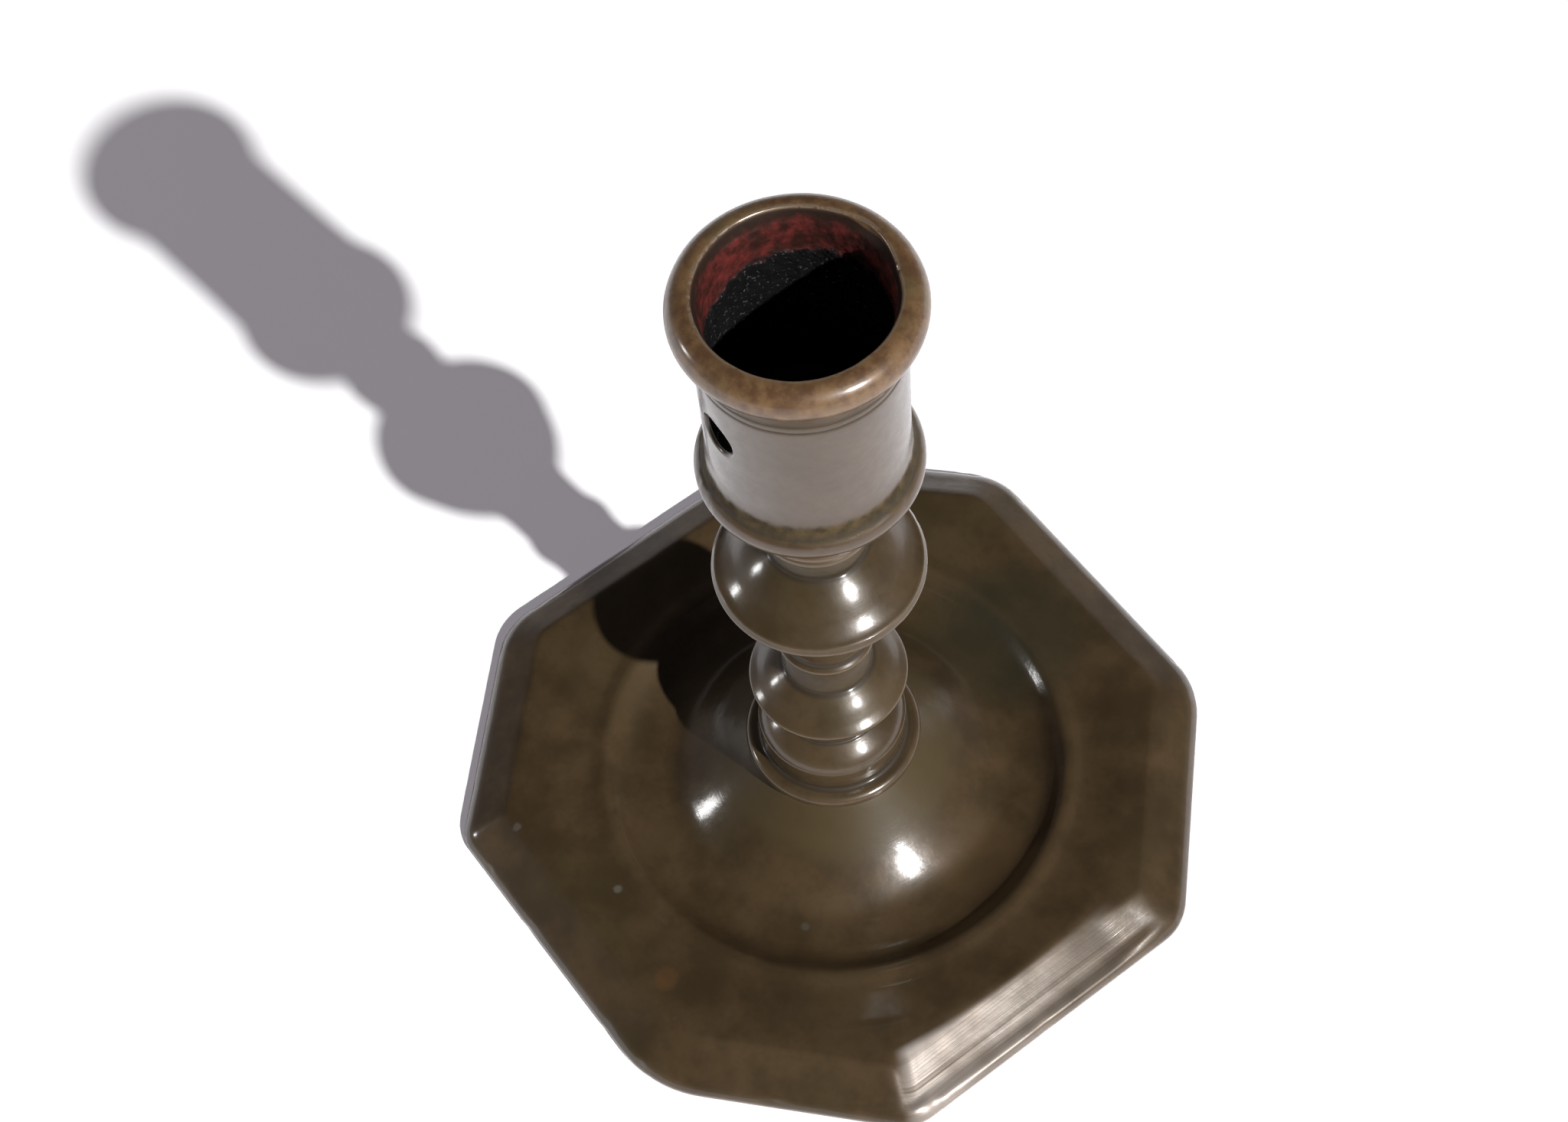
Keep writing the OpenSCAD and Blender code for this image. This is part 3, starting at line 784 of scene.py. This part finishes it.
def foot_finish(g, look):
    """File marks on the bevel that faces +X, where the metal shines through and is made paler towards -Y as a painted
    glare, and stains and small specks, with a large dark patch of painted shade on the well's wall.
    """
    marks = g.noise(0.8, 3, 0.6, where=g.vector(g.attribute("run"), g.math("MULTIPLY", g.y, 0.012), 0.0), seed=90)
    aside = g.math("DIVIDE", g.y, g.x)
    filed = g.math("MULTIPLY", g.ramp(aside, -0.53, -0.46), g.ramp(aside, 0.42, 0.3))
    across = g.math("ADD", g.x, g.math("MULTIPLY", g.math("MULTIPLY", g.y, g.y), 0.0037))
    filed = g.math("MULTIPLY", filed, g.ramp(across, 48.8, 50.2))
    look.normal = g.bump(g.math("MULTIPLY", marks, filed), 0.04, look.normal)
    # Bare metal where the bevel is filed; its paleness grows towards -Y as a painted glare
    bare_metal_and_glare = g.math("MULTIPLY", filed, g.ramp(g.noise(14, 2, 0.5, seed=91), 0.35, 0.6, 0.35, 1.0))
    bare_metal_and_glare = g.math("MULTIPLY", bare_metal_and_glare, g.ramp(marks, 0.3, 0.6, 0.25, 1.0))
    over(g, look, g.math("MULTIPLY", bare_metal_and_glare, g.ramp(g.y, 16, -20, 0.15, 1.0)), (0.42, 0.365, 0.325), 0.38, 0.45)
    dull = g.math("MULTIPLY", g.ramp(g.radius, 22.5, 17.5), g.ramp(g.noise(6, 3, 0.6, seed=93), 0.3, 0.55, 0.7, 1.0))
    over(g, look, g.math("MULTIPLY", dull, g.ramp(g.z, 1.5, 2.2)), (0.066, 0.046, 0.02), 0.5, 0.0, 0.3)
    # Stains and specks; the large dark patch at (0, 38) is painted shade on the well's wall, which faces away from the
    # key light there
    for x, y, size, colour, share in ((-2.8, -43.0, 0.8, (0.12, 0.115, 0.09), 0.7), (-22.1, -50.0, 0.8, (0.13, 0.115, 0.1), 0.5),
                                      (20.4, -22.0, 0.8, (0.09, 0.085, 0.07), 0.5), (14.9, -45.8, 2.2, (0.11, 0.055, 0.02), 0.55),
                                      (0.0, 38.0, 15.0, (0.03, 0.029, 0.016), 0.6), (30.0, 8.0, 9.0, (0.075, 0.045, 0.02), 0.5)):
        apart = g.add("ShaderNodeVectorMath", operation="DISTANCE")
        g.link(g.vector(g.x, g.y, 0.0), apart.inputs[0])
        apart.inputs[1].default_value = (x, y, 0)
        ragged = g.math("ADD", apart.outputs["Value"], g.math("MULTIPLY", g.noise(size, 3, 0.6, seed=80 + size), 0.8 * size))
        mask = g.math("MULTIPLY", g.ramp(ragged, 1.6 * size, 0.9 * size), share)
        over(g, look, g.math("MULTIPLY", mask, g.ramp(g.z, 1.5, 2.2)), colour)


DARK, OLIVE = (0.046, 0.029, 0.013), (0.054, 0.04, 0.0165)
foot_bronze = bronze("foot bronze", 0, (0.078, 0.049, 0.023), DARK, OLIVE, 0.4, 0.2, 0.13, foot_finish)
stem_bronze = bronze("stem bronze", 20, (0.08, 0.053, 0.027), DARK, OLIVE, 0.36, 0.25, 0.15)
socket_bronze = bronze("socket bronze", 40, (0.084, 0.051, 0.027), (0.062, 0.037, 0.018), (0.064, 0.044, 0.021), 0.36, 0.4, 0.18,
                       socket_finish)
for obj, material, slot in ((base, foot_bronze, "foot_bronze"), (stem, stem_bronze, "stem_bronze"),
                            (nozzle, socket_bronze, "socket_bronze")):
    obj.data.materials.append(material)

iron = Graph("rusted iron")
rust = iron.noise(1.2, 5, 0.65, seed=71)
scale_of_rust = iron.noise(0.4, 3, 0.6, seed=72)
tone = iron.mix(iron.ramp(rust, 0.4, 0.6), (0.05, 0.045, 0.04), (0.16, 0.07, 0.03))
tone = iron.mix(iron.ramp(iron.attribute("edge"), 0.03, 0.12), tone, (0.12, 0.105, 0.09))
wrought_iron = iron.surface(Base_Color=tone, Metallic=iron.ramp(rust, 0.42, 0.58, 0.9, 0.1),
                            Roughness=iron.ramp(rust, 0.4, 0.62, 0.45, 0.85),
                            Normal=iron.bump(scale_of_rust, 0.08))
for obj in (nut, washer, stud):
    obj.data.materials.append(wrought_iron)


# Floor, light and camera
floor_mesh = bpy.data.meshes.new("floor")
floor_mesh.from_pydata([(x * 6, y * 6, 0) for x, y in ((-1, -1), (1, -1), (1, 1), (-1, 1))], [], [(0, 1, 2, 3)])
floor = bpy.data.objects.new("floor", floor_mesh)
bpy.context.scene.collection.objects.link(floor)
paper = Graph("white paper")
paths = paper.add("ShaderNodeLightPath").outputs
seen = paper.math("MAXIMUM", paths["Is Camera Ray"], paper.math("MAXIMUM", paths["Is Glossy Ray"],
                                                                paths["Is Transmission Ray"]))
floor_mesh.materials.append(paper.surface(Base_Color=(1.0, 1.0, 1.0), Roughness=1.0, Specular_IOR_Level=0.0,
                                          Emission_Color=(0.155, 0.142, 0.165), Emission_Strength=seen))


def toward(bearing, elevation):
    a, e = math.radians(bearing), math.radians(elevation)
    return Vector((math.cos(e) * math.cos(a), math.cos(e) * math.sin(a), math.sin(e)))


sun_data = bpy.data.lights.new("key light", "SUN")
sun_data.energy = 4.5
sun_data.angle = math.radians(1.3)
sun = bpy.data.objects.new("key light", sun_data)
sun.rotation_mode = "QUATERNION"
sun.rotation_quaternion = toward(7.45, 36.0).to_track_quat("Z", "Y")
bpy.context.scene.collection.objects.link(sun)

window_data = bpy.data.lights.new("window light", "AREA")
window_data.shape = "RECTANGLE"
window_data.size, window_data.size_y = 0.13, 0.2
window_data.energy = 2.6
window = bpy.data.objects.new("window light", window_data)
away = toward(-130.0, 18.0)
window.matrix_world = Matrix.Translation(away * 1.5 + Vector((0, 0, 0.07))) @ away.to_track_quat("Z", "Y").to_matrix().to_4x4()
bpy.context.scene.collection.objects.link(window)

world = bpy.context.scene.world or bpy.data.worlds.new("room")
bpy.context.scene.world = world
world.use_nodes = True
room = world.node_tree
split = room.nodes.new("ShaderNodeSeparateXYZ")
rising = room.nodes.new("ShaderNodeMapRange")
tone = room.nodes.new("ShaderNodeMix")
rising.interpolation_type = "SMOOTHSTEP"
rising.inputs["From Min"].default_value, rising.inputs["From Max"].default_value = 0.03, 0.42
tone.data_type = "RGBA"
tone.inputs[6].default_value, tone.inputs[7].default_value = (0.3, 0.265, 0.25, 1), (0.032, 0.03, 0.031, 1)
room.links.new(room.nodes.new("ShaderNodeTexCoord").outputs["Generated"], split.inputs[0])
room.links.new(split.outputs["Z"], rising.inputs["Value"])
room.links.new(rising.outputs["Result"], tone.inputs[0])
room.links.new(tone.outputs[2], room.nodes["Background"].inputs["Color"])
bpy.context.scene.view_settings.view_transform = "Standard"

camera_data = bpy.data.cameras.new("camera")
camera_data.lens = 61.52
camera_data.sensor_width = 36.0
camera_data.sensor_fit = "HORIZONTAL"
camera_data.clip_start = 0.01
camera = bpy.data.objects.new("camera", camera_data)
bpy.context.scene.collection.objects.link(camera)
bpy.context.scene.camera = camera
ahead = toward(148.65, -59.98)
level = ahead.cross(Vector((0, 0, 1))).normalized()
rise = level.cross(ahead)
ROLL = -0.109
right = math.cos(ROLL) * level + math.sin(ROLL) * rise
up = math.cos(ROLL) * rise - math.sin(ROLL) * level
turn = Matrix((right, up, -ahead)).transposed().to_4x4()
camera.matrix_world = Matrix.Translation(Vector((165.2, -106.65, 412.3)) * MM) @ turn
